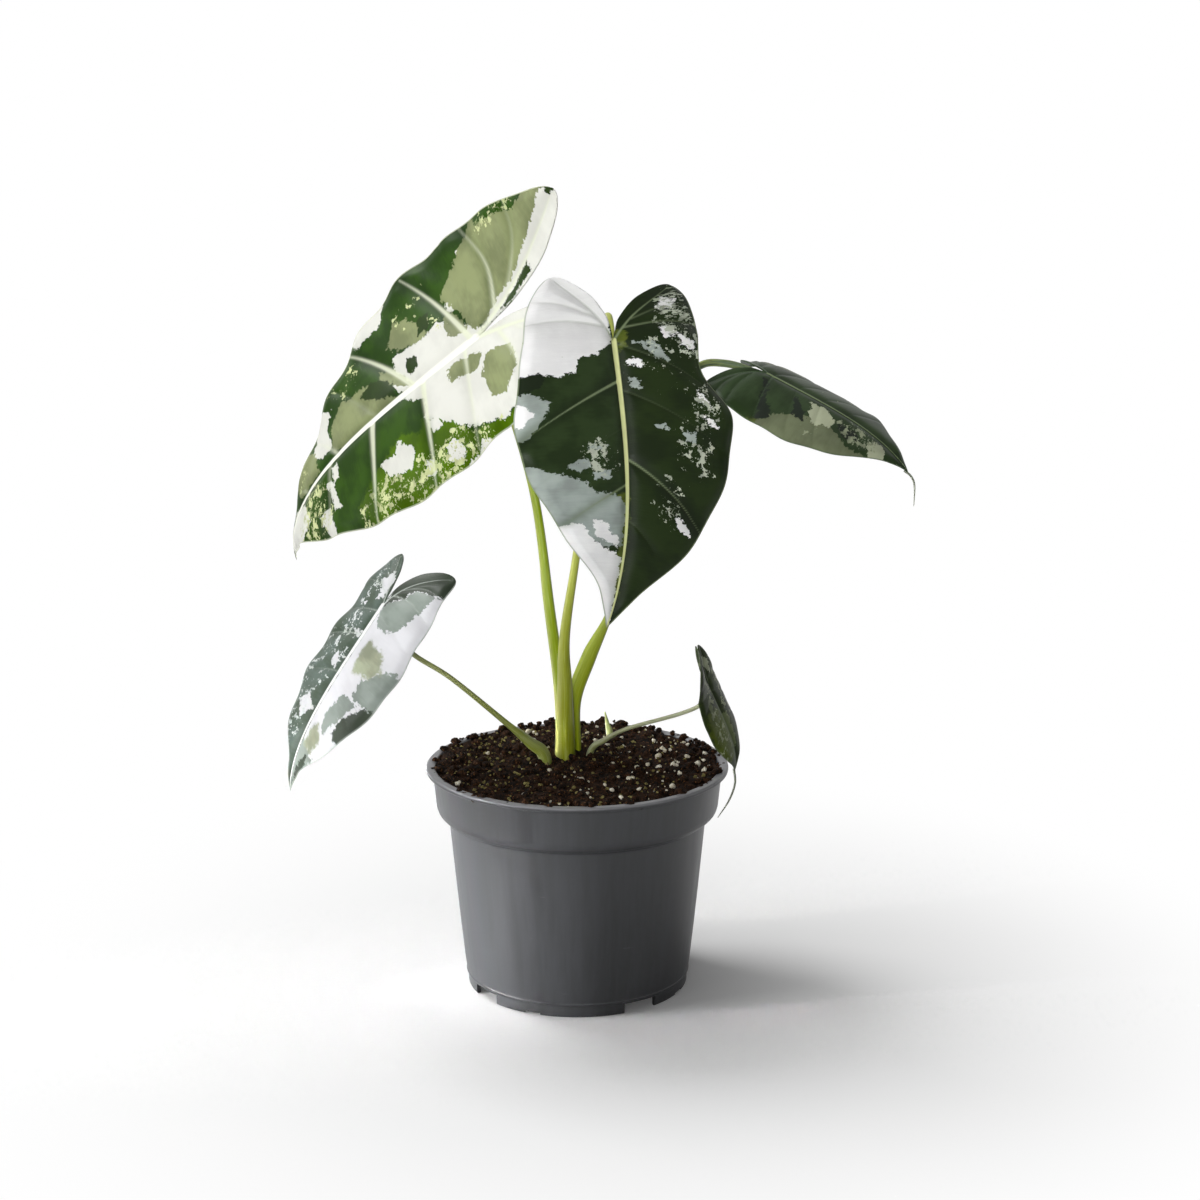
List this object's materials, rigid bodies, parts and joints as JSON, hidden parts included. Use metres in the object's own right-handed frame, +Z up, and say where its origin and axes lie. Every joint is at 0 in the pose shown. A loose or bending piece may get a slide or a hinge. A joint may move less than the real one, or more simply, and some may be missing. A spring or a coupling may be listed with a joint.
{
  "type": "potted alocasia house plant",
  "caption": "Variegated arrow-leaved alocasia growing in soil in a tapered nursery pot; stands on the pot's base.",
  "frame": {"origin": "middle of the pot's base pad, on the plane the pot stands on", "axes": "+Z up along the pot's axis; -Y towards the viewer who sees the large leaf face on; +X to that viewer's right"},
  "size_m": [0.2464, 0.1365, 0.3143],
  "materials": {
    "pot_plastic": "satin grey injection-moulded polypropylene with faint upright flow streaks",
    "potting_soil": "moist dark peat and bark mix with perlite grains, rough",
    "stalk_green": "smooth waxy yellow-green leaf stalk, paler on one side",
    "shoot_green": "smooth pale green new shoot",
    "blade_variegated": "velvety dark green blade with ragged grey-green and cream-white sectors and pale veins"
  },
  "bodies": {
    "root": {"pot": "pot_plastic", "soil": "potting_soil", "stalk_back_left": "stalk_green", "stalk_front": "stalk_green", "stalk_right": "stalk_green", "stalk_low_left": "stalk_green", "stalk_low_right": "stalk_green", "new_shoot": "shoot_green", "leaf_back_left": "blade_variegated", "leaf_front": "blade_variegated", "leaf_right": "blade_variegated", "leaf_low_left": "blade_variegated", "leaf_low_right": "blade_variegated"}
  },
  "joints": []
}
